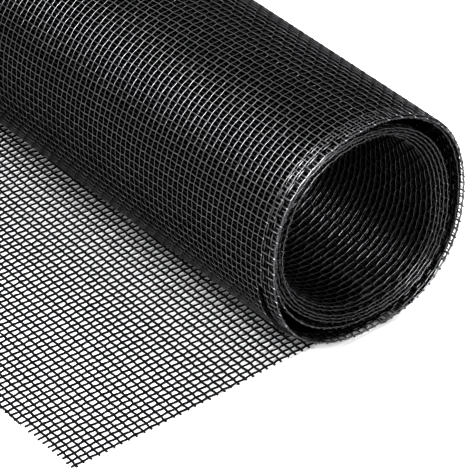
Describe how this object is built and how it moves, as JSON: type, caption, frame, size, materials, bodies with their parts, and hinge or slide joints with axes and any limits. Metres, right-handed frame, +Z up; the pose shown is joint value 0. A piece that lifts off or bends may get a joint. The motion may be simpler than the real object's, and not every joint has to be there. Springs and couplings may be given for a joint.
{
  "type": "roll of window insect net",
  "caption": "Cut length of black openwork insect net, wound into a loose hollow roll with one end lying flat.",
  "frame": {"origin": "on the surface, under the middle of the whole roll and its loose end", "axes": "+Y along the roll's axis, away from the open end that faces the viewer; -X towards the loose end's cut edge; +Z up"},
  "size_m": [0.0908, 0.2, 0.0483],
  "materials": {
    "black_coated_yarn": "smooth satin coating"
  },
  "bodies": {
    "root": {"net_roll": "black_coated_yarn"}
  },
  "joints": []
}
